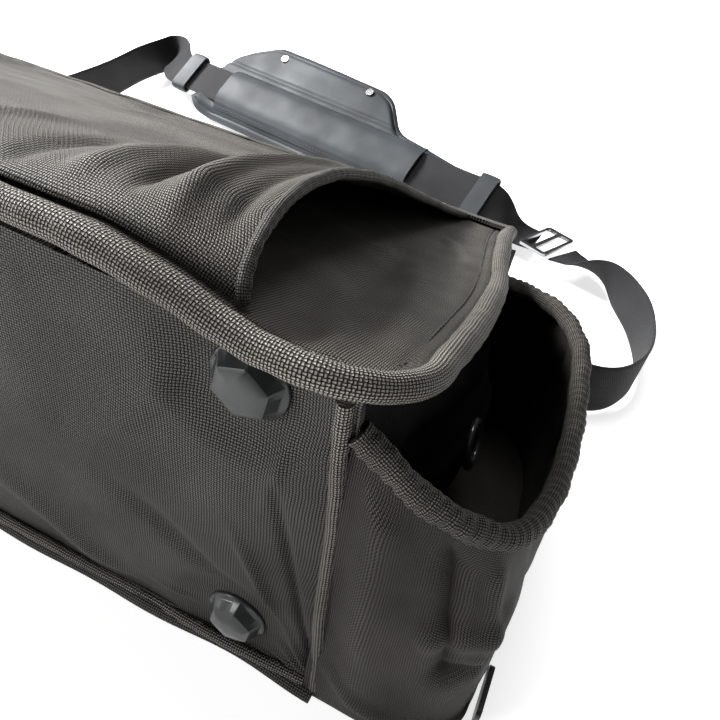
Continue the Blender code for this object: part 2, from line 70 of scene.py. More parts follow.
def weights(count, samples):
    """Catmull-Rom weights that turn a row of control points into evenly spread samples."""
    t = np.linspace(0, count - 1, samples)
    first = np.minimum(t.astype(int), count - 2)
    f = t - first
    basis = ((-f + 2 * f ** 2 - f ** 3) / 2, (2 - 5 * f ** 2 + 3 * f ** 3) / 2,
             (f + 4 * f ** 2 - 3 * f ** 3) / 2, (f ** 3 - f ** 2) / 2)
    table = np.zeros((samples, count))
    for step, value in zip((-1, 0, 1, 2), basis):
        for row in range(samples):
            at = first[row] + step
            if at < 0:
                table[row, 0] += 2 * value[row]
                table[row, 1] -= value[row]
            elif at >= count:
                table[row, -1] += 2 * value[row]
                table[row, -2] -= value[row]
            else:
                table[row, at] += value[row]
    return table


def patch(net, rows, columns):
    """A smooth grid of points through a net of control points."""
    net = np.array(net, float)
    return np.einsum("ia,jb,abk->ijk", weights(net.shape[0], rows), weights(net.shape[1], columns), net)


def path(points, samples):
    """Evenly spaced points on a smooth line through the given ones."""
    points = np.array(points, float)
    fine = weights(len(points), len(points) * 24) @ points
    run = np.concatenate([[0], np.cumsum(np.linalg.norm(np.diff(fine[:, :3], axis=0), axis=1))])
    want = np.linspace(0, run[-1], samples)
    return np.stack([np.interp(want, run, fine[:, k]) for k in range(fine.shape[1])], axis=1)


def unit(v):
    return v / np.maximum(np.linalg.norm(v, axis=-1, keepdims=True), 1e-12)


def normals(grid):
    return unit(np.cross(np.gradient(grid, axis=0), np.gradient(grid, axis=1)))


def cloth_lengths(grid):
    """Distance along the cloth from its first row and first column, at every point."""
    u = np.zeros(grid.shape[:2])
    v = np.zeros(grid.shape[:2])
    u[1:] = np.cumsum(np.linalg.norm(np.diff(grid, axis=0), axis=2), axis=0)
    v[:, 1:] = np.cumsum(np.linalg.norm(np.diff(grid, axis=1), axis=2), axis=1)
    return u, v


def flat_size(grid):
    """A sheet's longest run each way and its area, measured over the shaped grid."""
    across = np.linalg.norm(np.diff(grid, axis=0), axis=-1).sum(axis=0).max()
    along = np.linalg.norm(np.diff(grid, axis=1), axis=-1).sum(axis=1).max()
    first = np.cross(grid[1:, :-1] - grid[:-1, :-1], grid[:-1, 1:] - grid[:-1, :-1])
    second = np.cross(grid[1:, :-1] - grid[1:, 1:], grid[:-1, 1:] - grid[1:, 1:])
    area = (np.linalg.norm(first, axis=-1) + np.linalg.norm(second, axis=-1)).sum() / 2
    return round(float(across), 3), round(float(along), 3), round(float(area), 4)


def ease(t):
    t = np.clip(t, 0, 1)
    return t * t * (3 - 2 * t)


def fold(u, v, start, end, width, height):
    """A soft fold along a straight line in the sheet's own 0 to 1 coordinates, fading at its ends."""
    a = np.array(start, float)
    d = np.array(end, float) - a
    t = ((u - a[0]) * d[0] + (v - a[1]) * d[1]) / (d @ d)
    off = ((u - a[0]) * d[1] - (v - a[1]) * d[0]) / math.sqrt(d @ d)
    fade = ease(t / 0.25 + 0.2) * ease((1 - t) / 0.35 + 0.1) * (t > -0.05) * (t < 1.03)
    return height * np.exp(-(off / width) ** 2) * fade


def uneven(u, v, size, seed):
    """Gentle unevenness of about -1 to 1 over a sheet, with waves of about the given size."""
    generator = np.random.default_rng(seed)
    total = np.zeros_like(u)
    for _ in range(9):
        angle = generator.uniform(0, 2 * math.pi)
        wave = 2 * math.pi / (size * generator.uniform(0.6, 1.9))
        phase = generator.uniform(0, 2 * math.pi)
        total += np.sin(wave * (u * math.cos(angle) + v * math.sin(angle)) + phase)
    return total / 4.5


def unit_coordinates(grid):
    return np.meshgrid(np.linspace(0, 1, grid.shape[0]), np.linspace(0, 1, grid.shape[1]), indexing="ij")


def wrinkle(grid, folds, rough=0.0004, size=0.03, seed=1, hem=0.0):
    """The grid pushed along its normals by a list of folds and by a little unevenness."""
    u, v = unit_coordinates(grid)
    lift = rough * uneven(*cloth_lengths(grid), size, seed)
    for start, end, width, height in folds:
        lift = lift + fold(u, v, start, end, width, height)
    if hem:
        edge = np.minimum(np.minimum(u, 1 - u), np.minimum(v, 1 - v))
        lift = lift * ease(edge / hem)
    return grid + normals(grid) * lift[..., None]


def make_mesh(name, points, faces, uv, material, body, slot, smooth=True, sharp=None):
    mesh = bpy.data.meshes.new(name)
    mesh.from_pydata([tuple(p) for p in points], [], [tuple(f) for f in faces])
    mesh.update()
    if uv is not None:
        layer = mesh.uv_layers.new(name="Cloth")
        loops = np.zeros(len(mesh.loops), int)
        mesh.loops.foreach_get("vertex_index", loops)
        layer.data.foreach_set("uv", np.asarray(uv)[loops].astype(np.float32).ravel())
    if smooth:
        mesh.shade_smooth()
    if sharp:
        mesh.set_sharp_from_angle(angle=math.radians(sharp))
    mesh.materials.append(material)
    obj = bpy.data.objects.new(name, mesh)
    bpy.context.scene.collection.objects.link(obj)
    if body:
        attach(obj, body)
    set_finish(obj, slot)
    return obj


def slab(name, grid, thickness, material, body, slot, side=0.0, turn=False):
    """A closed sheet of cloth: the grid thickened, with the weave's coordinates in metres.
    side 1 puts all the thickness on the normal's side and -1 on the other."""
    n, m = grid.shape[:2]
    out = normals(grid)
    thickness = np.broadcast_to(np.asarray(thickness, float), (n, m))[..., None]
    upper = grid + out * thickness * (0.5 + side / 2)
    lower = grid - out * thickness * (0.5 - side / 2)
    u, v = cloth_lengths(grid)
    if turn:
        u, v = v, u
    uv = np.stack([u, v], axis=-1).reshape(-1, 2)
    at = np.arange(n * m).reshape(n, m)
    quads = np.stack([at[:-1, :-1], at[1:, :-1], at[1:, 1:], at[:-1, 1:]], axis=-1).reshape(-1, 4)
    faces = [quads, quads[:, ::-1] + n * m]
    loop = np.concatenate([at[:, 0], at[-1, 1:], at[-2::-1, -1], at[0, -2:0:-1]])
    following = np.roll(loop, -1)
    faces.append(np.stack([following, loop, loop + n * m, following + n * m], axis=-1))
    return make_mesh(name, np.concatenate([upper.reshape(-1, 3), lower.reshape(-1, 3)]),
                     np.concatenate(faces), np.concatenate([uv, uv]), material, body, slot, sharp=50)


def moving_frames(line, up=(0, 0, 1)):
    """Side and up directions along a line, kept close to one another and to the given up."""
    along = unit(np.gradient(line, axis=0))
    ups = np.broadcast_to(np.array(up, float), line.shape)
    side = unit(np.cross(along, ups))
    return along, side, unit(np.cross(side, along))


def roll(name, line, radius, material, body, slot, sides=20, flat=1.0, up=(0, 0, 1), lumps=None, closed=False):
    """A round or flattened edging along a line; lumps(run, angle) gives its unevenness."""
    along, side, top = moving_frames(line, up)
    if closed:
        along = unit(np.roll(line, -1, axis=0) - np.roll(line, 1, axis=0))
        side = unit(np.cross(along, np.broadcast_to(np.array(up, float), line.shape)))
        top = unit(np.cross(side, along))
    n = len(line)
    run = np.concatenate([[0], np.cumsum(np.linalg.norm(np.diff(line, axis=0), axis=1))])
    angle = np.linspace(0, 2 * math.pi, sides + 1)
    radius = np.broadcast_to(np.asarray(radius, float), (n,))
    r = radius[:, None] * np.ones(sides + 1)[None, :]
    if lumps:
        r = r + lumps(run[:, None], angle[None, :])
    ring = (side[:, None] * (r * np.cos(angle))[..., None] + top[:, None] * (flat * r * np.sin(angle))[..., None])
    points = line[:, None] + ring
    uv = np.stack(np.broadcast_arrays(run[:, None], angle[None, :] * radius.mean()), axis=-1)
    kept = points[:, :-1].reshape(-1, 3)
    faces, corners = [], []
    last = n if closed else n - 1
    for i in range(last):
        j = (i + 1) % n
        for k in range(sides):
            l = (k + 1) % sides
            faces.append((i * sides + k, i * sides + l, j * sides + l, j * sides + k))
            end = uv[j] if j else uv[i] + (uv[1] - uv[0])
            corners += [uv[i, k], uv[i, k + 1], end[k + 1], end[k]]
    if not closed:
        for i, order in ((0, -1), (n - 1, 1)):
            faces.append(tuple(i * sides + k for k in range(sides))[::order])
            corners += [uv[i, k] for k in range(sides)][::order]
    obj = make_mesh(name, kept, faces, None, material, body, slot, sharp=60)
    layer = obj.data.uv_layers.new(name="Cloth")
    layer.data.foreach_set("uv", np.array(corners, np.float32).ravel())
    return obj


WEBBING_WIDTH, WEBBING_THICKNESS = 0.038, 0.0019


def ribbon(name, points, samples, width, thickness, material, body, slot):
    """Flat webbing along (x, y, z, lean) points; lean runs from flat, 0, to on edge, 90."""
    line = path(points, samples)
    middle, lean = line[:, :3], np.radians(line[:, 3])
    along = unit(np.gradient(middle, axis=0))
    level = unit(np.cross(along, np.array([0, 0, 1.0])))
    rise = np.cross(level, along)
    across = level * np.cos(lean)[:, None] + rise * np.sin(lean)[:, None]
    steps = np.linspace(-1, 1, 17)
    grid = middle[:, None] + across[:, None] * (steps * width / 2)[None, :, None]
    edge = thickness * (1 - 0.75 * np.abs(steps) ** 12)
    edge = edge * (1 + 0.35 * np.exp(-((np.abs(steps) - 0.90) / 0.05) ** 2))
    return slab(name, grid, edge[None, :], material, body, slot)


def stitches(name, line, out, material, body, slot, pitch=0.0036, length=0.0026, radius=0.0004):
    """A row of thread stitches on a line, each a small bead pressed into the cloth."""
    run = np.concatenate([[0], np.cumsum(np.linalg.norm(np.diff(line, axis=0), axis=1))])
    count = max(int(run[-1] / pitch), 1)
    at = (np.arange(count) + 0.5) * run[-1] / count
    spot = np.stack([np.interp(at, run, line[:, k]) for k in range(3)], axis=1)
    raised = np.stack([np.interp(at, run, out[:, k]) for k in range(3)], axis=1)
    ahead = np.stack([np.interp(at + 1e-4, run, line[:, k]) for k in range(3)], axis=1)
    back = np.stack([np.interp(at - 1e-4, run, line[:, k]) for k in range(3)], axis=1)
    along = unit(ahead - back)
    side = unit(np.cross(along, raised))
    top = unit(np.cross(side, along))
    rings = ((-0.5, 0.35), (-0.3, 0.95), (0.0, 1.1), (0.3, 0.95), (0.5, 0.35))
    points, faces = [], []
    for s in range(count):
        base = len(points)
        for t, fat in rings:
            for k in range(6):
                a = math.pi * k / 3
                p = spot[s] + along[s] * t * length + side[s] * math.cos(a) * radius * fat
                points.append(p + top[s] * (math.sin(a) * radius * fat - radius * 2.2 * t * t))
        for i in range(4):
            for k in range(6):
                l = (k + 1) % 6
                faces.append((base + i * 6 + k, base + i * 6 + l, base + i * 6 + 6 + l, base + i * 6 + 6 + k))
        faces.append(tuple(base + k for k in range(6))[::-1])
        faces.append(tuple(base + 24 + k for k in range(6)))
    return make_mesh(name, points, faces, None, material, body, slot)


def on_front(x, y, offset):
    """A point at (x, y) of the sloping front, raised along its normal."""
    z = TOP_Z + (HALF_Y - y) * math.tan(SLOPE) + offset / math.cos(SLOPE)
    return np.stack(np.broadcast_arrays(np.asarray(x, float), y, z), axis=-1)


# ---------------------------------------------------------------- materials

class Nodes:
    """Short ways to add shader nodes; numbers and sockets are both accepted as inputs."""

    def __init__(self, name):
        self.material = bpy.data.materials.new(name)
        self.material.use_nodes = True
        self.tree = self.material.node_tree
        self.shader = self.tree.nodes["Principled BSDF"]

    def put(self, socket, value):
        if isinstance(value, bpy.types.NodeSocket):
            self.tree.links.new(value, socket)
        else:
            socket.default_value = value

    def math(self, operation, a, b=0.0, c=0.0):
        node = self.tree.nodes.new("ShaderNodeMath")
        node.operation = operation
        for socket, value in zip(node.inputs, (a, b, c)):
            self.put(socket, value)
        return node.outputs[0]

    def mix(self, factor, a, b):
        node = self.tree.nodes.new("ShaderNodeMix")
        node.data_type = "RGBA"
        self.put(node.inputs["Factor"], factor)
        self.put(node.inputs["A"], a if isinstance(a, bpy.types.NodeSocket) else (*a, 1))
        self.put(node.inputs["B"], b if isinstance(b, bpy.types.NodeSocket) else (*b, 1))
        return node.outputs["Result"]

    def noise(self, where, scale, detail=3.0, rough=0.5):
        node = self.tree.nodes.new("ShaderNodeTexNoise")
        self.put(node.inputs["Vector"], where)
        node.inputs["Scale"].default_value = scale
        node.inputs["Detail"].default_value = detail
        node.inputs["Roughness"].default_value = rough
        return node.outputs["Fac"]

    def spread(self, value, low, high, to_low=0.0, to_high=1.0):
        node = self.tree.nodes.new("ShaderNodeMapRange")
        node.clamp = True
        for socket, number in zip(node.inputs, (value, low, high, to_low, to_high)):
            self.put(socket, number)
        return node.outputs[0]

    def uv(self):
        node = self.tree.nodes.new("ShaderNodeUVMap")
        node.uv_map = "Cloth"
        split = self.tree.nodes.new("ShaderNodeSeparateXYZ")
        self.put(split.inputs[0], node.outputs[0])
        return split.outputs[0], split.outputs[1]

    def place(self):
        return self.tree.nodes.new("ShaderNodeTexCoord").outputs["Object"]

    def bump(self, height, distance, strength=1.0, before=None):
        node = self.tree.nodes.new("ShaderNodeBump")
        node.inputs["Strength"].default_value = strength
        node.inputs["Distance"].default_value = distance
        self.put(node.inputs["Height"], height)
        if before is not None:
            self.put(node.inputs["Normal"], before)
        return node.outputs[0]

    def done(self, colour, rough, normal=None, **numbers):
        if not isinstance(colour, bpy.types.NodeSocket):
            colour = (*colour, 1)
        self.put(self.shader.inputs["Base Color"], colour)
        self.put(self.shader.inputs["Roughness"], rough)
        if normal is not None:
            self.put(self.shader.inputs["Normal"], normal)
        for name, number in numbers.items():
            self.shader.inputs[name.replace("_", " ")].default_value = number
        return self.material


def ridge(n, across, power):
    """A rounded rib over a 0 to 1 run: 1 in its middle and 0 at its ends."""
    from_middle = n.math("ABSOLUTE", n.math("MULTIPLY_ADD", across, 2.0, -1.0))
    return n.math("SUBTRACT", 1.0, n.math("POWER", from_middle, power))


def yarn_height(n, u, v, cell):
    """A plain weave, where warp and weft pass over each other in alternate cells: its height, and a mask
    of the yarn crests that get the painted glint highlight, both from 0 to 1."""
    x = n.math("DIVIDE", u, cell)
    y = n.math("DIVIDE", v, cell)
    odd = n.math("MODULO", n.math("ABSOLUTE", n.math("ADD", n.math("FLOOR", x), n.math("FLOOR", y))), 2.0)
    fx = n.math("FRACT", x)
    fy = n.math("FRACT", y)
    swap = n.math("SUBTRACT", fy, fx)
    across = n.math("MULTIPLY_ADD", swap, odd, fx)
    along = n.math("MULTIPLY_ADD", n.math("MULTIPLY", swap, -1.0), odd, fy)
    round_off = ridge(n, n.math("FRACT", across), 2.0)
    dip = ridge(n, along, 2.5)
    height = n.math("MULTIPLY", n.math("SQRT", round_off), n.math("MULTIPLY_ADD", dip, 0.8, 0.2))
    # Mask of the yarn crests, which are painted lighter: a painted glint highlight.
    painted_glint_mask = n.math("MULTIPLY", n.spread(round_off, 0.58, 0.96), n.spread(dip, 0.02, 0.45))
    return height, painted_glint_mask


def weave_material(name, cell, dark, light, glint, rough=0.55, depth=0.00030, specular=0.10, fade=0.5):
    """Woven nylon: gaps painted dark as painted shade, and yarn crests painted lighter, brighter still in random
    patches, as a painted glint highlight.
    """
    n = Nodes(name)
    u, v = n.uv()
    drift = n.noise(n.place(), 55.0, 3.0)
    wobble = n.math("MULTIPLY_ADD", drift, 0.0010, -0.0005)
    height, painted_glint_mask = yarn_height(n, n.math("ADD", u, wobble), n.math("SUBTRACT", v, wobble), cell)
    patchy = n.spread(n.noise(n.place(), 16.0, 4.0), 0.3, 0.72)
    # Gaps painted dark (painted shade); crests painted light, or glint-bright in random patches (painted highlight).
    colour = n.mix(painted_glint_mask, dark, n.mix(n.math("MULTIPLY", patchy, fade), light, glint))
    normal = n.bump(height, depth, 1.0)
    return n.done(colour, n.spread(patchy, 0.0, 1.0, rough + 0.05, rough - 0.05), normal, Specular_IOR_Level=specular)


def plain_material(name, colour, rough, grain=0.0, grain_size=900.0, wear=0.15, metallic=0.0, specular=0.5, coat=0.0):
    """Moulded plastic, metal or cloth lining, with a fine grain and slight wear."""
    n = Nodes(name)
    where = n.place()
    tone = n.noise(where, 40.0, 5.0, 0.6)
    worn = tuple(c * (1 - wear) for c in colour)
    rubbed = tuple(min(c * (1 + 2 * wear), 1) for c in colour)
    colour_out = n.mix(n.spread(tone, 0.35, 0.75), worn, rubbed)
    normal = n.bump(n.noise(where, grain_size, 2.0), grain, 0.6) if grain else None
    return n.done(colour_out, n.spread(tone, 0.3, 0.7, rough * 0.85, min(rough * 1.2, 1)), normal,
                  Metallic=metallic, Specular_IOR_Level=specular, Coat_Weight=coat)


def leather_material(name, dark, light):
    """Leather with a fine cell grain, broad creases and rubbed areas."""
    n = Nodes(name)
    where = n.place()
    cells = n.tree.nodes.new("ShaderNodeTexVoronoi")
    n.put(cells.inputs["Vector"], where)
    cells.inputs["Scale"].default_value = 900.0
    grain = n.spread(cells.outputs["Distance"], 0.0, 0.6)
    crease = n.noise(where, 60.0, 6.0, 0.65)
    rub = n.spread(n.noise(where, 22.0, 4.0), 0.35, 0.7)
    colour = n.mix(rub, dark, light)
    normal = n.bump(grain, 0.00006, 0.5, n.bump(crease, 0.0006, 0.5))
    return n.done(colour, n.spread(rub, 0.0, 1.0, 0.62, 0.50), normal, Specular_IOR_Level=0.18)


def webbing_material(name, dark, light, across=0.0011, along=0.0016):
    """Close ribs over the webbing's width, crossed by the weft."""
    n = Nodes(name)
    u, v = n.uv()
    x = n.math("DIVIDE", u, along)
    y = n.math("DIVIDE", v, across)
    slant = n.math("MULTIPLY_ADD", n.math("MODULO", n.math("ABSOLUTE", n.math("FLOOR", y)), 2.0), 0.5, x)
    bar = ridge(n, n.math("FRACT", slant), 2.0)
    rib = ridge(n, n.math("FRACT", y), 2.0)
    height = n.math("MULTIPLY", n.math("MULTIPLY_ADD", bar, 0.7, 0.3), rib)
    rub = n.spread(n.noise(n.place(), 30.0, 4.0), 0.3, 0.7)
    # Colour follows the rib height: lighter on the ribs and darker between them as painted highlight and shade, varied
    # by random rubbed wear.
    colour = n.mix(n.math("MULTIPLY", height, n.math("MULTIPLY_ADD", rub, 0.5, 0.5)), dark, light)
    return n.done(colour, 0.6, n.bump(height, 0.00022), Specular_IOR_Level=0.12)


# Every weave below has glint strokes painted on its yarn crests and painted shade in its gaps.
WEAVE_LOOK = weave_material("basket_weave", WEAVE, (0.0015, 0.0014, 0.0014), (0.10, 0.093, 0.082), (0.36, 0.335, 0.295),
                            depth=0.00045)
# A darker copy of the weave for the end walls: painted shade, as these walls face away from the light.
WEAVE_END_SHADE = weave_material("basket_weave_end_painted_shade", WEAVE, (0.0010, 0.0010, 0.0012), (0.012, 0.012, 0.012), (0.03, 0.03, 0.03),
                            rough=0.7, specular=0.03)
# A lighter copy of the weave for the rolled edges and piping: painted highlight.
WEAVE_TRIM_LIT = weave_material("basket_weave_trim_painted_highlight", WEAVE * 1.12, (0.0015, 0.0014, 0.0014), (0.13, 0.12, 0.105),
                            (0.46, 0.43, 0.385), depth=0.00050)
# A darker copy of the weave for the side pockets: painted shade, standing in for the light falling off towards the
# lower right.
WEAVE_POCKET_SHADE = weave_material("basket_weave_pocket_painted_shade", WEAVE, (0.0012, 0.0011, 0.0011), (0.045, 0.041, 0.037),
                              (0.17, 0.155, 0.14), depth=0.00042)
# A darker copy of the weave for the pocket bindings, set to how moderately lit they are: painted shade.
WEAVE_RIM_SHADE = weave_material("basket_weave_rim_painted_shade", WEAVE * 0.92, (0.0014, 0.0013, 0.0013), (0.075, 0.070, 0.062),
                           (0.27, 0.25, 0.22), depth=0.00045)
# A flatter, lighter-grey copy of the weave for the overlay's bound edges: painted highlight.
WEAVE_HEM_LIT = weave_material("basket_weave_hem_painted_highlight", WEAVE * 0.8, (0.010, 0.0095, 0.009), (0.10, 0.095, 0.085), (0.20, 0.19, 0.17))
# A darker copy of the weave for the base panel and the back under it: painted shade, as the base faces away from the
# overhead light.
WEAVE_BASE_SHADE = weave_material("basket_weave_base_painted_shade", WEAVE * 1.15, (0.003, 0.003, 0.0028), (0.060, 0.057, 0.052),
                            (0.17, 0.162, 0.148), depth=0.00036)
LINING_LOOK = plain_material("lining_cloth", (0.012, 0.013, 0.016), 0.8, 0.0001, 1500.0, specular=0.3)
THREAD = plain_material("black_thread", (0.018, 0.018, 0.019), 0.55, 0.00005, 2500.0)
LEATHER = leather_material("leather", (0.022, 0.025, 0.028), (0.036, 0.041, 0.046))
WEBBING = webbing_material("webbing", (0.005, 0.005, 0.006), (0.034, 0.034, 0.036))
PLASTIC = plain_material("moulded_plastic", (0.014, 0.015, 0.016), 0.34, 0.00003, 1800.0, specular=0.35, coat=0.08)
ENAMEL = plain_material("eyelet_enamel", (0.03, 0.031, 0.033), 0.16, 0.00001, 1800.0, specular=0.6, coat=0.4)
GUNMETAL = plain_material("gunmetal", (0.32, 0.32, 0.33), 0.26, 0.00002, 1500.0, metallic=1.0)
BOARD = plain_material("stiffener_board", (0.03, 0.03, 0.03), 0.7, 0.0002, 700.0)


# ---------------------------------------------------------------- the bag's body

def build_base():
    """The base panel, with the folds that fan out from its corner, and the back that rolls under it."""
    columns = (-0.2220, -0.1500, -0.0500, 0.0500, 0.1200, 0.1750, 0.2080, 0.2240)
    heights = (0.0075, 0.0300, 0.0750, 0.1250, 0.1722)
    bulge = (0.0010, 0.0035, 0.0055, 0.0050, 0.0030)
    net = []
    for i, x in enumerate(columns):
        outward = (0.3, 0.8, 1.0, 1.0, 1.0, 0.9, 0.7, 0.2)[i]
        net.append([(x + (0.008 * (1 - z / 0.16) if x > 0.21 else 0), -HALF_Y - 0.0005 - b * outward, z)
                    for z, b in zip(heights, bulge)])
        net[-1][-1] = (net[-1][-1][0], -HALF_Y - 0.0050, 0.1725 + 0.0085 * math.cos(x / 0.222 * math.pi / 2))
    grid = patch(net, 300, 130)
    folds = [
        ((0.985, 0.02), (0.70, 0.42), 0.016, 0.0030),
        ((0.990, 0.03), (0.74, 0.62), 0.014, 0.0026),
        ((0.985, 0.10), (0.80, 0.80), 0.012, -0.0022),
        ((0.975, 0.01), (0.62, 0.24), 0.014, 0.0022),
        ((0.90, 0.16), (0.58, 0.60), 0.022, -0.0026),
        ((0.62, 0.10), (0.35, 0.60), 0.030, 0.0030),
        ((0.40, 0.15), (0.20, 0.75), 0.030, -0.0026),
        ((0.72, 0.95), (0.55, 0.55), 0.020, 0.0022),
        ((0.86, 0.98), (0.80, 0.66), 0.014, 0.0018),
        ((0.02, 0.10), (0.26, 0.55), 0.018, 0.0026),
        ((0.02, 0.06), (0.22, 0.25), 0.014, 0.0018),
    ]
    grid = wrinkle(grid, folds, 0.0006, 0.05, 3, hem=0.03)
    for number in range(1, 5):
        low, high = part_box("foot_%d" % number)
        off = np.hypot(grid[..., 0] - (low.x + high.x) / 2, grid[..., 2] - (low.z + high.z) / 2)
        flat = ease((0.034 - off) / 0.018)
        grid[..., 1] += (-HALF_Y - 0.0008 - grid[..., 1]) * flat
    grid[..., 1] = np.minimum(grid[..., 1], -HALF_Y - 0.0004)
    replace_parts(slab("base_cloth", grid, 0.0028, WEAVE_BASE_SHADE, "bag", "nylon", side=-1), "bottom_panel")

    profile = ((-0.1415, 0.0085), (-0.1465, 0.0066), (-0.1478, 0.0032), (-0.1420, 0.0010), (-0.1200, 0.0006),
               (-0.0500, 0.0010), (0.0500, 0.0008), (0.1200, 0.0006), (0.1400, 0.0028))
    net = [[(x, y, z) for y, z in profile] for x in (-0.2210, -0.2000, -0.1000, 0.0, 0.1000, 0.1700, 0.2100, 0.2280)]
    grid = patch(net, 200, 150)
    grid[..., 2] += 0.0006 * (1 + uneven(grid[..., 0], grid[..., 1], 0.06, 8)) * ease((grid[..., 2]) / 0.004)
    grid[..., 1] += 0.0012 * uneven(grid[..., 0], grid[..., 0] * 0, 0.05, 9) * ease((-0.12 - grid[..., 1]) / 0.02)
    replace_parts(slab("back_cloth", grid[::-1], 0.0022, WEAVE_BASE_SHADE, "bag", "nylon", side=-1), "back_panel", "back_sleeve_panel")


def build_ends():
    """The two end walls, which bulge into their side pockets."""
    for side, name in ((1, "right"), (-1, "left")):
        net = []
        for y, out in ((-0.1400, 0.0), (-0.1150, 0.45), (-0.0700, 0.95), (-0.0200, 1.0), (0.0250, 0.50),
                       (0.0580, 0.06), (0.0800, 0.0), (0.1100, 0.0), (0.1400, 0.0)):
            top = TOP_Z + (HALF_Y - y) * math.tan(SLOPE)
            row = []
            for t, swell in ((0.0, 0.10), (0.22, 0.70), (0.50, 1.0), (0.78, 0.70), (1.0, 0.05)):
                row.append((side * (HALF_X + 0.0005 + 0.024 * out * swell), y, 0.005 + (top - 0.005) * t))
            net.append(row)
        grid = patch(net, 150, 110)
        folds = [
            ((0.10, 0.75), (0.60, 0.62), 0.030, -0.0035), ((0.10, 0.62), (0.72, 0.52), 0.022, 0.0026),
            ((0.35, 0.95), (0.68, 0.75), 0.020, 0.0022),
            ((0.20, 0.20), (0.50, 0.50), 0.030, 0.0020),
        ]
        grid = wrinkle(grid, folds, 0.0006, 0.03, 12 + side, hem=0.03)
        if side < 0:
            grid = grid[::-1]
        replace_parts(slab("end_cloth_" + name, grid, 0.0026, WEAVE_END_SHADE, "bag", "nylon", side=1, turn=True),
                    "end_panel_" + name)


def build_front():
    """The front wall, its organiser pocket and the quilted divider, under the flap."""
    x = np.linspace(-0.2165, 0.2165, 120)
    y = np.linspace(-0.1345, 0.1400, 90)
    gx, gy = np.meshgrid(x, y, indexing="ij")
    grid = on_front(gx, gy, 0.0002 * uneven(gx, gy, 0.05, 21))
    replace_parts(slab("front_cloth", grid, 0.0028, WEAVE_LOOK, "bag", "nylon", side=-1), "front_panel")
    gx, gy = np.meshgrid(np.linspace(-0.179, 0.179, 110), np.linspace(-0.119, 0.084, 70), indexing="ij")
    grid = on_front(gx, gy, 0.0006)
    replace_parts(slab("organizer_cloth", grid, 0.0016, WEAVE_LOOK, "bag", "nylon", side=1), "organizer_pocket_panel")
    low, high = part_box("padded_divider")
    gx, gy = np.meshgrid(np.linspace(low.x + 0.001, high.x - 0.001, 90),
                         np.linspace(low.y + 0.001, high.y - 0.001, 60), indexing="ij")
    edge = np.minimum(np.minimum(gx - low.x, high.x - gx), np.minimum(gy - low.y, high.y - gy))
    grid = np.stack([gx, gy, np.full_like(gx, 0.040)], axis=-1)
    quilt = 0.0062 * (1 - 0.25 * np.abs(np.cos(math.pi * gx / 0.10)) ** 30) * (0.45 + 0.55 * ease(edge / 0.010))
    pad = slab("divider_pad", grid, quilt, LINING_LOOK, "bag", "lining")
    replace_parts(pad, "padded_divider")


def pleats(amount, step, seed=0):
    """Radial gathers along a bound edge."""
    def lumps(run, angle):
        wave = np.sin(2 * math.pi * run / step + 0.9 * np.sin(run * 190 + seed))
        return amount * wave * (0.6 + 0.4 * np.cos(angle)) + amount * 0.6 * np.sin(run * 310 + angle * 2 + seed)
    return lumps


def build_seams():
    seam_y = -HALF_Y - 0.0038
    for side, name in ((1, "right"), (-1, "left")):
        spread = 0.0085 if side > 0 else 0.003
        line = path([(side * (HALF_X - 0.0005 + spread * (1 - z / 0.16)), seam_y + 0.0012 * math.sin(z * 70), z)
                     for z in np.linspace(0.008, 0.168, 9)], 160)
        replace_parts(roll("end_piping_" + name, line, 0.0026, WEAVE_TRIM_LIT, "bag", "trim", sides=14, up=(0, -1, 0),
                         lumps=pleats(0.00015, 0.006)), "end_seam_binding_" + name)
    line = path([(x, seam_y + 0.0006 * math.sin(x * 60), 0.0078 + 0.0010 * math.sin(x * 33))
                 for x in np.linspace(-0.2150, 0.2230, 12)], 260)
    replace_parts(roll("back_piping", line, 0.0023, WEAVE_TRIM_LIT, "bag", "trim", sides=12, up=(0, -1, 0),
                     lumps=pleats(0.00012, 0.007)), "back_seam_binding")


def build_feet():
    """Faceted domes: six leaning faces over a thin flange, with a flat crown."""
    for number in range(1, 5):
        low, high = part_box("foot_%d" % number)
        cx, cz = (low.x + high.x) / 2, (low.z + high.z) / 2
        base = high.y - 0.0002
        rings = ((0.0131, 0.0), (0.0131, 0.0010), (0.0127, 0.0015), (0.0123, 0.0022), (0.0096, 0.0064),
                 (0.0072, 0.0077), (0.0030, 0.0080))
        points, faces = [], []
        for r, out in rings:
            for k in range(24):
                a = 2 * math.pi * k / 24 + 0.35
                turn = (a - 0.35) % (math.pi / 3) - math.pi / 6
                facet = math.cos(math.pi / 6) / math.cos(turn) if out > 0.0019 else 1.0
                blend_in = 1.0 if out < 0.0019 else 0.94
                rr = r * (1 - blend_in + blend_in * facet) * 1.02
                points.append((cx + rr * math.cos(a), base - out, cz + rr * math.sin(a)))
        for i in range(len(rings) - 1):
            for k in range(24):
                l = (k + 1) % 24
                faces.append((i * 24 + k, i * 24 + l, i * 24 + 24 + l, i * 24 + 24 + k))
        faces.append(tuple(range(24))[::-1])
        faces.append(tuple(24 * (len(rings) - 1) + k for k in range(24)))
        foot = make_mesh("foot_moulding_%d" % number, points, faces, None, PLASTIC, "bag", "plastic", sharp=28)
        bevel = foot.modifiers.new("Edges", "BEVEL")
        bevel.width = 0.0009
        bevel.segments = 3
        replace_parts(foot, "foot_%d" % number)


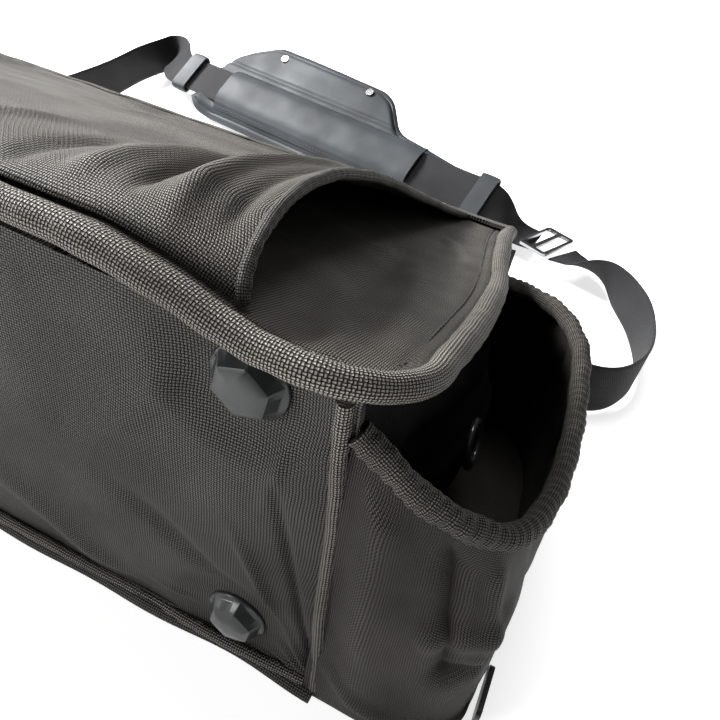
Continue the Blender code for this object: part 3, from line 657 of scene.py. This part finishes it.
POCKET_RIM = (
    (0.0026, -0.1420, 0.1550), (0.0290, -0.1400, 0.1370), (0.0520, -0.1240, 0.1205), (0.0610, -0.0950, 0.1130),
    (0.0625, -0.0600, 0.1100), (0.0600, -0.0250, 0.1095), (0.0550, 0.0100, 0.1065), (0.0380, 0.0400, 0.1025),
    (0.0026, 0.0610, 0.0950),
)
POCKET_FOOT = (
    (0.0032, -0.1430, 0.0040), (0.0400, -0.1410, 0.0035), (0.0620, -0.1250, 0.0035), (0.0645, -0.0900, 0.0035),
    (0.0640, -0.0500, 0.0035), (0.0620, -0.0100, 0.0035), (0.0540, 0.0300, 0.0035), (0.0350, 0.0530, 0.0035),
    (0.0022, 0.0630, 0.0035),
)


def build_pockets():
    for side, name in ((1, "right"), (-1, "left")):
        net = []
        for top, foot in zip(POCKET_RIM, POCKET_FOOT):
            wall = HALF_X + 0.0010
            row = [(side * wall, foot[1] * 0.985, foot[2]),
                   (side * (wall + foot[0] * 0.6), foot[1] * 0.99, foot[2] - 0.0006)]
            for t, bow in ((0.0, 0.0), (0.06, 0.5), (0.25, 1.0), (0.5, 1.1), (0.75, 0.6), (1.0, 0.0)):
                p = [a + (b - a) * t for a, b in zip(foot, top)]
                push = 0.0030 * bow * (p[0] / 0.06)
                row.append((side * (HALF_X + p[0] + push), p[1] - push * (0.7 if p[1] < -0.11 else 0), p[2]))
            net.append(row)
        grid = patch(net, 220, 110)
        folds = [
            ((0.055, 1.05), (0.075, 0.42), 0.034, 0.0050), ((0.160, 1.02), (0.190, 0.62), 0.020, -0.0046),
            ((0.130, 0.74), (0.320, 0.82), 0.030, 0.0036), ((0.150, 0.66), (0.330, 0.70), 0.022, -0.0034),
            ((0.010, 0.56), (0.130, 0.44), 0.022, 0.0030), ((0.090, 0.44), (0.300, 0.40), 0.024, 0.0026),
            ((0.230, 0.98), (0.250, 0.60), 0.016, 0.0030), ((0.340, 0.98), (0.400, 0.60), 0.018, -0.0022),
            ((0.460, 0.50), (0.750, 0.70), 0.050, 0.0020), ((0.600, 0.98), (0.640, 0.65), 0.016, 0.0018),
            ((0.780, 0.95), (0.840, 0.60), 0.016, 0.0018),
        ]
        grid = wrinkle(grid, folds, 0.0006, 0.035, 40 + side, hem=0.07)
        if side < 0:
            grid = grid[::-1]
        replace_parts(slab("pocket_cloth_" + name, grid, 0.0022, WEAVE_POCKET_SHADE, "bag", "nylon", side=1, turn=True),
                    "side_pocket_" + name)
        rim = path([(side * (HALF_X + a + 0.0005), b, c + 0.0018) for a, b, c in POCKET_RIM], 320)
        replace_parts(roll("pocket_binding_" + name, rim, 0.0040, WEAVE_RIM_SHADE, "bag", "trim", sides=18, flat=1.15,
                         lumps=pleats(0.00042, 0.0046, side)), "pocket_rim_" + name)

        low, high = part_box("eyelet_" + name)
        angle = np.linspace(0, 2 * math.pi, 49)[:-1]
        cy, cz = (low.y + high.y) / 2, (low.z + high.z) / 2
        ring = np.stack([side * (0.2492 - 0.0022 * np.sin(angle)), cy + 0.0092 * np.cos(angle),
                         cz + 0.0092 * np.sin(angle)], axis=1)
        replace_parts(roll("eyelet_ring_" + name, ring, 0.0026, ENAMEL, "bag", "plastic", sides=14, flat=0.7,
                         up=(side, 0, 0), closed=True), "eyelet_" + name)


# ---------------------------------------------------------------- flap

FLAP_HALF = 0.2365
FLAP_LOW = -0.1499
FLAP_HIGH = 0.1390
FLAP_CORNER = 0.030
EDGE = 0.0042


def flap_half(y):
    """Half the flap's width at y, measured to the middle of its rolled edge."""
    return FLAP_HALF - 0.0205 * ease((y + 0.060) / (HALF_Y + 0.060))


def overlay_rise(across, along):
    arch = 0.012 + 0.016 * np.abs(across) ** 4
    return FLAP_OFFSET + 0.0015 + arch * np.sin(math.pi * np.clip(along, 0, 1) ** 0.55) ** 1.1


def flap_outline(inset):
    """The flap's edge from its top right corner down and round to its top left, moved inwards."""
    corner = max(FLAP_CORNER - inset, 0.006)
    low = FLAP_LOW + inset
    down = np.linspace(FLAP_HIGH - 0.004, low + corner, 40)
    right = [(float(flap_half(y)) - inset, y) for y in down]
    centre = right[-1][0] - corner
    right += [(centre + corner * math.cos(a), low + corner - corner * math.sin(a))
              for a in np.linspace(0, math.pi / 2, 15)[1:]]
    right += [(x, low) for x in np.linspace(centre, 0, 22)[1:]]
    return np.array(right + [(-x, y) for x, y in right[-2::-1]])


def flap_lift(x, y):
    """How the flap stands off its flat plane: full in the middle, drooping where it overhangs the ends."""
    far = np.abs(x)
    front = ease((-0.060 - y) / 0.080)
    droop = 0.0078 * ease((far - 0.158) / 0.040) * np.clip((HALF_Y - y) / 0.265, 0, 1)
    full = 0.0045 * (1 - ease((far - 0.135) / 0.035)) * front
    return full - droop


def build_flap():
    share = np.linspace(-1, 1, 280)
    width = FLAP_HALF - EDGE
    inner = FLAP_CORNER - EDGE
    over = np.maximum(np.abs(share) * width - (width - inner), 0)
    low = FLAP_LOW + EDGE + inner - np.sqrt(np.maximum(inner ** 2 - over ** 2, 0))
    gy = low[:, None] + (FLAP_HIGH - low)[:, None] * np.linspace(0, 1, 180)[None, :]
    gx = share[:, None] * (flap_half(gy) - EDGE)
    flat = np.stack([gx, gy], axis=-1)
    lift = flap_lift(gx, gy)
    u, v = unit_coordinates(flat)
    for start, end, width, height in (
        ((0.985, 0.05), (0.93, 0.45), 0.012, 0.0016), ((0.93, 0.10), (0.905, 0.60), 0.010, -0.0016),
        ((0.985, 0.50), (0.94, 0.70), 0.012, 0.0014), ((0.955, 0.02), (0.90, 0.25), 0.012, 0.0018),
        ((0.015, 0.05), (0.07, 0.45), 0.012, 0.0016), ((0.07, 0.10), (0.095, 0.60), 0.010, -0.0016),
    ):
        lift = lift + fold(u, v, start, end, width, height)
    lift = lift + 0.0003 * uneven(gx, gy, 0.03, 5)
    groove = np.abs(np.minimum(flap_half(gy) - np.abs(gx), gy - FLAP_LOW) - 0.0092)
    lift = lift - 0.0007 * np.exp(-(groove / 0.0011) ** 2)
    grid = on_front(gx, gy, FLAP_OFFSET + lift)
    cloth = slab("flap_cloth", grid, 0.0024, WEAVE_LOOK, "flap", "nylon", side=-1)
    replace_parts(cloth, "flap_panel")
    width, length, area = flat_size(grid)

    lining_grid = on_front(gx * 0.985, gy * 0.985, 0.0082 + np.minimum(flap_lift(gx, gy), 0))
    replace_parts(slab("flap_lining_cloth", lining_grid, 0.0010, LINING_LOOK, "flap", "lining", side=0), "flap_lining")

    edge = flap_outline(0.0)
    rise = 0.0105 + flap_lift(edge[:, 0], edge[:, 1])
    line = path(on_front(edge[:, 0], edge[:, 1], rise), 620)

    def lumps(run, angle):
        return (0.00018 * np.sin(run * 420 + 2 * np.sin(run * 60)) * np.sin(angle + run * 30)
                + 0.00035 * np.sin(run * 75 + angle) + 0.0003 * np.sin(run * 38))
    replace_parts(roll("flap_roll", line, 0.0046, WEAVE_TRIM_LIT, "flap", "trim", sides=26, lumps=lumps), "flap_rolled_edge")

    inner = flap_outline(0.0092)
    rise = FLAP_OFFSET + flap_lift(inner[:, 0], inner[:, 1]) - 0.0004
    line = path(on_front(inner[:, 0], inner[:, 1], rise), 700)
    out = np.broadcast_to(np.array([0, math.sin(SLOPE), math.cos(SLOPE)]), line.shape)
    stitches("flap_stitching", line, out, THREAD, "flap", "trim")


def build_overlay():
    """The full-width pocket sheet: sewn down at both ends of its slope, open and gaping at its sides."""
    across = np.linspace(-1, 1, 300)
    along = np.linspace(0, 1, 220) ** 1.25
    a, b = np.meshgrid(across, along, indexing="ij")
    y = -0.1370 + 0.2650 * b
    x = a * (0.183 - 0.010 * np.sin(math.pi * b ** 0.7) + 0.004 * b)
    rise = overlay_rise(a, b)
    u, v = unit_coordinates(a[..., None] * np.ones(3))
    rise = rise + flap_lift(x, y)
    for start, end, width, height in (
        ((0.93, 0.02), (0.945, 0.75), 0.012, 0.0042), ((0.89, 0.05), (0.90, 0.60), 0.012, -0.0046),
        ((0.975, 0.05), (0.972, 0.50), 0.010, -0.0024), ((0.84, 0.03), (0.87, 0.42), 0.016, 0.0034),
        ((0.78, 0.02), (0.79, 0.30), 0.014, -0.0024), ((0.66, 0.02), (0.70, 0.34), 0.018, 0.0022),
        ((0.52, 0.02), (0.55, 0.26), 0.018, -0.0020), ((0.36, 0.02), (0.35, 0.34), 0.020, 0.0022),
        ((0.20, 0.02), (0.21, 0.40), 0.018, -0.0024), ((0.08, 0.05), (0.07, 0.60), 0.012, 0.0040),
        ((0.90, 0.98), (0.80, 0.60), 0.020, 0.0024), ((0.10, 0.98), (0.22, 0.60), 0.020, 0.0024),
        ((0.40, 0.98), (0.50, 0.60), 0.030, -0.0020),
    ):
        rise = rise + fold(u, v, start, end, width, height)
    rise = np.maximum(rise + 0.0005 * uneven(x, y, 0.03, 15) * ease(b / 0.05), FLAP_OFFSET + 0.0010 + flap_lift(x, y))
    grid = on_front(x, y, rise)
    cloth = slab("overlay_cloth", grid, 0.0020, WEAVE_LOOK, "flap", "nylon")
    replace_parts(cloth, "flap_overlay_panel")
    width, length, area = flat_size(grid)
    for index, name in ((-1, "right"), (0, "left")):
        line = path(grid[index], 260)
        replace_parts(roll("overlay_hem_" + name, line, 0.0021, WEAVE_HEM_LIT, "flap", "trim", sides=12,
                         lumps=pleats(0.0002, 0.005)), "overlay_binding_" + name)
    foot = path(grid[:, 3], 500)
    out = np.broadcast_to(np.array([0, -0.3, 1.0]), foot.shape)
    stitches("overlay_stitching", foot + out * 0.0004, out, THREAD, "flap", "trim", radius=0.0003)


def build_spine():
    """The strip over the bag's top edge, which bends at the flap's fold."""
    profile = ((0.1440, 0.0085), (0.1465, 0.0200), (0.1475, 0.0450), (0.1468, 0.0700), (0.1440, 0.0820),
               (0.1370, 0.0890), (0.1250, 0.0935))
    net = [[(x, y, z) for y, z in profile] for x in np.linspace(-0.2165, 0.2165, 9)]
    grid = patch(net, 240, 90)
    grid = wrinkle(grid, [((0.2, 0.1), (0.24, 0.9), 0.03, 0.0008), ((0.7, 0.1), (0.66, 0.9), 0.03, 0.0008)], 0.0003, 0.04, 31)
    cloth = slab("flap_spine", grid, 0.0022, WEAVE_LOOK, None, "nylon", side=-1)
    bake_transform(cloth)
    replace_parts(cloth, "flap_hinge_panel")


# ---------------------------------------------------------------- strap

LONG_WEBBING = (
    (-0.2300, 0.1360, 0.0305, -90), (-0.2330, 0.1700, 0.0290, -90), (-0.2400, 0.2350, 0.0250, -90),
    (-0.2500, 0.3000, 0.0220, -90), (-0.2620, 0.3650, 0.0215, -90), (-0.2640, 0.4120, 0.0215, -88),
    (-0.2550, 0.4260, 0.0240, -72), (-0.2390, 0.4060, 0.0290, -48), (-0.2220, 0.3800, 0.0320, -37),
    (-0.2050, 0.3638, 0.0324, -35), (-0.1893, 0.3608, 0.0324, -35), (-0.1413, 0.3515, 0.0324, -35),
    (-0.0413, 0.3323, 0.0324, -35), (0.0587, 0.3131, 0.0324, -35), (0.1387, 0.2978, 0.0324, -35),
    (0.1700, 0.2918, 0.0324, -35), (0.1880, 0.2890, 0.0255, -22), (0.2060, 0.2892, 0.0145, -6),
    (0.2250, 0.2875, 0.0130, 0),
)
SHORT_WEBBING = (
    (0.2500, 0.2780, 0.0130, 0), (0.2720, 0.2650, 0.0160, 20), (0.2960, 0.2430, 0.0215, 75),
    (0.3180, 0.2100, 0.0210, 90), (0.3280, 0.1700, 0.0210, 90), (0.3260, 0.1350, 0.0215, 90),
    (0.3130, 0.1080, 0.0220, 90), (0.2930, 0.0960, 0.0230, 90), (0.2720, 0.1020, 0.0250, 90),
    (0.2520, 0.1230, 0.0280, 90), (0.2340, 0.1350, 0.0300, 90),
)
PAD_START = np.array([-0.170, 0.3640, 0.0225])
PAD_END = np.array([0.130, 0.3065, 0.0225])
PAD_TILT = math.radians(35)
PAD_MIDDLE = (PAD_START + PAD_END) / 2
PAD_ALONG = unit(PAD_END - PAD_START)
PAD_LEVEL = np.array([-PAD_ALONG[1], PAD_ALONG[0], 0.0])
PAD_ACROSS = PAD_LEVEL * math.cos(PAD_TILT) + np.array([0, 0, math.sin(PAD_TILT)])
PAD_OUT = np.cross(PAD_ALONG, PAD_ACROSS)
PAD_HALF = float(np.linalg.norm(PAD_END - PAD_START)) / 2


def on_pad(s, t, h):
    """A point given along the tilted pad's length, across it and off its lower face."""
    s, t, h = np.broadcast_arrays(np.asarray(s, float), t, h)
    return PAD_MIDDLE + s[..., None] * PAD_ALONG + t[..., None] * PAD_ACROSS + h[..., None] * PAD_OUT


def build_pad():
    stations = np.linspace(-PAD_HALF, PAD_HALF, 200)
    near = np.interp(stations, [-PAD_HALF, -PAD_HALF + 0.012, PAD_HALF - 0.060, PAD_HALF], [0.022, 0.035, 0.035, 0.024])
    far = np.interp(stations, [-PAD_HALF, -PAD_HALF + 0.020, -PAD_HALF + 0.055, PAD_HALF - 0.115, PAD_HALF - 0.100,
                               PAD_HALF - 0.075, PAD_HALF], [0.022, 0.055, 0.073, 0.073, 0.065, 0.035, 0.024])
    kernel = np.hanning(17) / np.hanning(17).sum()
    near = np.convolve(np.pad(near, 8, mode="edge"), kernel, mode="valid")
    far = np.convolve(np.pad(far, 8, mode="edge"), kernel, mode="valid")
    share = np.linspace(0, 1, 70)
    t = -near[:, None] + (near + far)[:, None] * share[None, :]
    s = np.broadcast_to(stations[:, None], t.shape)
    edge = np.minimum(np.minimum(t + near[:, None], far[:, None] - t), np.minimum(s + PAD_HALF, PAD_HALF - s))
    thickness = 0.0022 + 0.0066 * ease(edge / 0.012) ** 0.7
    thickness = thickness - 0.0020 * np.exp(-((edge - 0.0060) / 0.0012) ** 2)
    thickness = thickness - 0.0016 * np.exp(-((t - 0.033) / 0.0020) ** 2) * (t > 0)
    curl = 0.0100 * ease((-s - PAD_HALF + 0.034) / 0.034) * ease((-t - 0.002) / 0.030)
    curl = curl + 0.0030 * ease((t - 0.050) / 0.024) * np.sin((s + PAD_HALF) * 22)
    top = on_pad(s, t, 0.0006 + thickness + curl + 0.0003 * uneven(s, t, 0.04, 6))
    middle = on_pad(s, t, 0.0004 + curl)
    n, m = t.shape
    points = np.concatenate([top.reshape(-1, 3), middle.reshape(-1, 3)])
    at = np.arange(n * m).reshape(n, m)
    quads = np.stack([at[:-1, :-1], at[1:, :-1], at[1:, 1:], at[:-1, 1:]], axis=-1).reshape(-1, 4)
    loop = np.concatenate([at[:, 0], at[-1, 1:], at[-2::-1, -1], at[0, -2:0:-1]])
    following = np.roll(loop, -1)
    sides = np.stack([following, loop, loop + n * m, following + n * m], axis=-1)
    pad = make_mesh("pad_leather", points, np.concatenate([quads, quads[:, ::-1] + n * m, sides]), None, LEATHER,
                    "shoulder_rest", "leather", sharp=60)
    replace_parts(pad, "shoulder_pad")

    stations = np.linspace(-PAD_HALF + 0.034, PAD_HALF - 0.034, 160)
    t = np.linspace(-1, 1, 41)
    height = 0.0096 + 0.0088 * (1 - np.abs(t) ** 3.4) + 0.0005 * np.exp(-((np.abs(t) - 0.80) / 0.05) ** 2)
    s, tt = np.meshgrid(stations, t * 0.026, indexing="ij")
    z = np.broadcast_to(height, s.shape) + 0.0003 * uneven(s, tt, 0.03, 26)
    tunnel = slab("pad_tunnel", on_pad(s, tt, z), 0.0018, LEATHER, "shoulder_rest", "leather", side=-1)
    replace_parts(tunnel, "pad_tunnel_strip")
    for offset, label in ((-0.0235, "near"), (0.0235, "far")):
        line = on_pad(stations, offset, 0.0122)
        stitches("tunnel_stitching_" + label, line, np.broadcast_to(PAD_OUT, line.shape), THREAD, "shoulder_rest",
                 "leather", pitch=0.0040, length=0.0030)


def keeper(name, x, node):
    """A leather band round the tilted webbing at the given x."""
    start = np.array(LONG_WEBBING[10][:3])
    spot = start + PAD_ALONG * ((x - start[0]) / PAD_ALONG[0])
    angle = np.linspace(0, 2 * math.pi, 65)
    c, s = np.cos(angle), np.sin(angle)
    w, h = 0.0222, 0.0042
    outline = np.stack([w * np.sign(c) * np.abs(c) ** 0.25, h * np.sign(s) * np.abs(s) ** 0.5], axis=1)
    grid = []
    for t in np.linspace(-0.0085, 0.0085, 17):
        swell = 1 + 0.02 * math.cos(t / 0.0085 * math.pi / 2)
        grid.append(spot + t * PAD_ALONG + PAD_ACROSS * (outline[:, :1] * swell) + PAD_OUT * outline[:, 1:] * swell)
    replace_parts(slab(name, np.array(grid), 0.0018, LEATHER, "strap", "leather"), node)


def build_strap():
    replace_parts(ribbon("webbing_long", LONG_WEBBING, 420, WEBBING_WIDTH, WEBBING_THICKNESS, WEBBING, "strap",
                       "webbing"), "strap_webbing_long")
    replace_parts(ribbon("webbing_short", SHORT_WEBBING, 260, WEBBING_WIDTH, WEBBING_THICKNESS, WEBBING, "strap",
                       "webbing"), "strap_webbing_short")
    keeper("keeper_right", 0.1640, "strap_keeper_right")
    keeper("keeper_left", -0.1900, "strap_keeper_left")
    build_pad()


# ---------------------------------------------------------------- what stays from the CAD

def finish_cad():
    looks = {
        "base_board": BOARD, "strap_slider": GUNMETAL, "pad_rivet_1": GUNMETAL, "pad_rivet_2": GUNMETAL,
        "anchor_tab_left": LEATHER, "anchor_tab_right": LEATHER, "anchor_rivet_left": GUNMETAL,
        "anchor_rivet_right": GUNMETAL, "d_ring_left": GUNMETAL, "d_ring_right": GUNMETAL,
        "zip_slider_left": GUNMETAL, "zip_slider_right": GUNMETAL, "zip_pull_left": PLASTIC,
        "zip_pull_right": PLASTIC, "zip_tape_left": WEBBING, "zip_tape_right": WEBBING,
        "snap_stud_left": GUNMETAL, "snap_stud_right": GUNMETAL, "snap_socket_left": GUNMETAL,
        "snap_socket_right": GUNMETAL,
    }
    looks.update({"foot_rivet_%d" % i: GUNMETAL for i in range(1, 5)})
    for name, material in looks.items():
        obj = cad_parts[name]
        obj.data.materials.clear()
        obj.data.materials.append(material)


# ---------------------------------------------------------------- studio

def area_light(name, place, target, size, power):
    """A soft rectangular light at a place, turned to face the target."""
    light = bpy.data.lights.new(name, "AREA")
    light.shape = "RECTANGLE"
    light.size, light.size_y = size
    light.energy = power
    obj = bpy.data.objects.new(name, light)
    bpy.context.scene.collection.objects.link(obj)
    obj.location = place
    obj.rotation_mode = "QUATERNION"
    obj.rotation_quaternion = (Vector(target) - Vector(place)).to_track_quat("-Z", "Y")


def floor_material():
    """A white surface lit through from below, as a light table is."""
    n = Nodes("floor_white")
    return n.done((0.80, 0.80, 0.80), 0.9, Specular_IOR_Level=0.0,
                  Emission_Color=(1, 1, 1, 1), Emission_Strength=0.70)


def build_studio():
    scene = bpy.context.scene
    scene.view_settings.view_transform = "Standard"
    reach, level = 6, -0.0004
    corners = [(-reach, -reach, level), (reach, -reach, level), (reach, reach, level), (-reach, reach, level)]
    floor = make_mesh("floor", corners, [(0, 1, 2, 3)], None, floor_material(), None, "nylon", smooth=False)
    del floor["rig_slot"]
    world = bpy.data.worlds.new("studio")
    world.use_nodes = True
    world.node_tree.nodes["Background"].inputs["Color"].default_value = (1, 1, 1, 1)
    world.node_tree.nodes["Background"].inputs["Strength"].default_value = 0.12
    scene.world = world
    area_light("key", (-1.1, 0.35, 0.95), (0.1, 0, 0.1), (0.5, 0.5), 85)
    area_light("front_left", (-0.9, -1.3, 0.7), (0.0, 0, 0.08), (0.5, 0.5), 20)
    area_light("top", (0.0, 0.3, 1.6), (0.1, 0, 0.1), (0.6, 0.6), 12)

    camera = bpy.data.objects.new("camera", bpy.data.cameras.new("camera"))
    scene.collection.objects.link(camera)
    camera.data.sensor_width = 36.0
    camera.data.lens = 33.0
    camera.data.clip_start = 0.01
    right = Vector((0.900, 0.411, 0.147))
    ahead = Vector((-0.229, 0.732, -0.641)).normalized()
    right = (right - ahead * right.dot(ahead)).normalized()
    rows = Matrix((right, right.cross(ahead), -ahead)).transposed().to_4x4()
    camera.matrix_world = Matrix.Translation((0.257, -0.261, 0.285)) @ rows
    scene.camera = camera


build_studio()
build_base()
build_ends()
build_front()
build_seams()
build_feet()
build_pockets()
build_flap()
build_overlay()
build_spine()
build_strap()
finish_cad()
